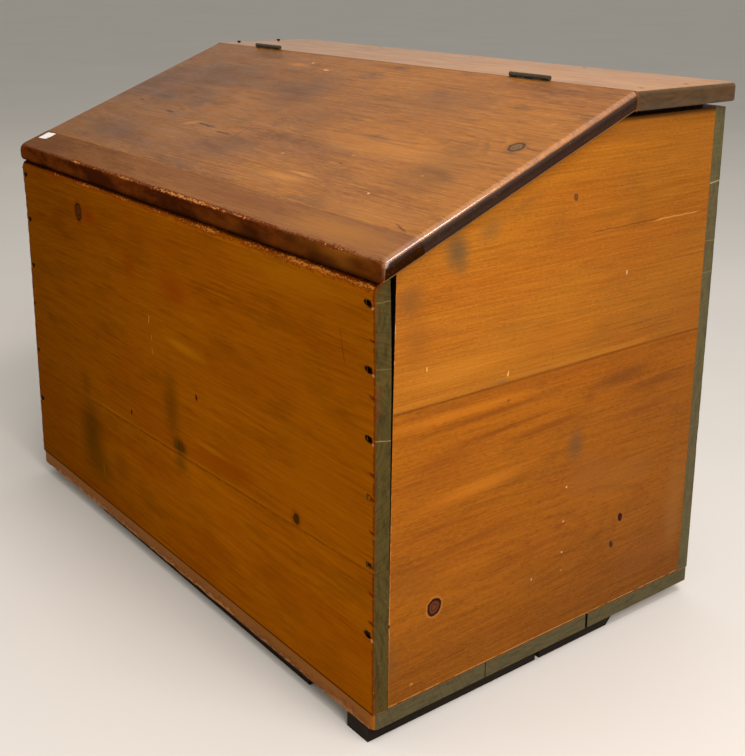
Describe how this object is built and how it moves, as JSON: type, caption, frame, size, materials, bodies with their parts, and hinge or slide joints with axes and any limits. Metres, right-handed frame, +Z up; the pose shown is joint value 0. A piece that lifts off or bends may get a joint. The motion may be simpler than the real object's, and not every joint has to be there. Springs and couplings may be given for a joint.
{
  "type": "grain ark chest",
  "caption": "Slope-front storage chest of wide old boards, with a hinged sloping lid that folds back onto a narrow fixed top.",
  "frame": {"origin": "on the ground, under the middle of the whole chest, at the underside of the skids", "axes": "+X along the chest towards its right end, +Y from the front towards the back, +Z up"},
  "size_m": [1.026, 0.6131, 0.7799],
  "materials": {
    "front_pine": "aged shellac over pine, amber brown",
    "side_pine": "aged shellac over pine, orange",
    "back_pine": "rough aged pine, unfinished",
    "bottom_pine": "rough aged pine, grey brown",
    "dark_wood": "old softwood darkened with dirt",
    "top_pine": "aged shellac over pine, worn pale",
    "lid_edge_pine": "worn red-brown stain",
    "lid_pine": "aged shellac over pine, red brown",
    "bare_pine": "bare aged pine",
    "hinge_iron": "dark oxidised iron",
    "nail_iron": "rusted iron"
  },
  "bodies": {
    "carcass": {"front_board_lower": "front_pine", "front_board_upper": "front_pine", "side_board_left_lower": "side_pine", "side_board_left_upper": "side_pine", "side_board_right_lower": "side_pine", "side_board_right_upper": "side_pine", "back_board_lower": "back_pine", "back_board_middle": "back_pine", "back_board_upper": "back_pine", "bottom_board_front": "bottom_pine", "bottom_board_middle": "bottom_pine", "bottom_board_back": "bottom_pine", "skid_front": "dark_wood", "skid_left_front": "dark_wood", "skid_left_rear": "dark_wood", "skid_right_front": "dark_wood", "skid_right_rear": "dark_wood", "top_board": "top_pine", "top_cleat_left": "bare_pine", "top_cleat_right": "bare_pine", "top_cleat_back": "bare_pine", "hinge_left_top_leaf": "hinge_iron", "hinge_right_top_leaf": "hinge_iron", "hinge_left_pin": "hinge_iron", "hinge_right_pin": "hinge_iron", "hinge_screws_top": "hinge_iron", "front_nails": "nail_iron", "back_nails": "nail_iron", "bottom_nails": "nail_iron", "skid_nails": "nail_iron", "top_nails": "nail_iron", "cleat_nails": "nail_iron"},
    "lid": {"lid_front_board": "lid_edge_pine", "lid_main_board": "lid_pine", "lid_batten_left": "bare_pine", "lid_batten_right": "bare_pine", "batten_nails": "nail_iron", "hinge_left_lid_leaf": "hinge_iron", "hinge_right_lid_leaf": "hinge_iron", "hinge_screws_lid": "hinge_iron"}
  },
  "joints": [
    {"name": "lid_hinge", "type": "hinge", "parent": "carcass", "child": "lid", "pos_m": [0, 0.0994, 0.7766], "axis": [-1, 0, 0], "range_deg": [0, 203]}
  ]
}
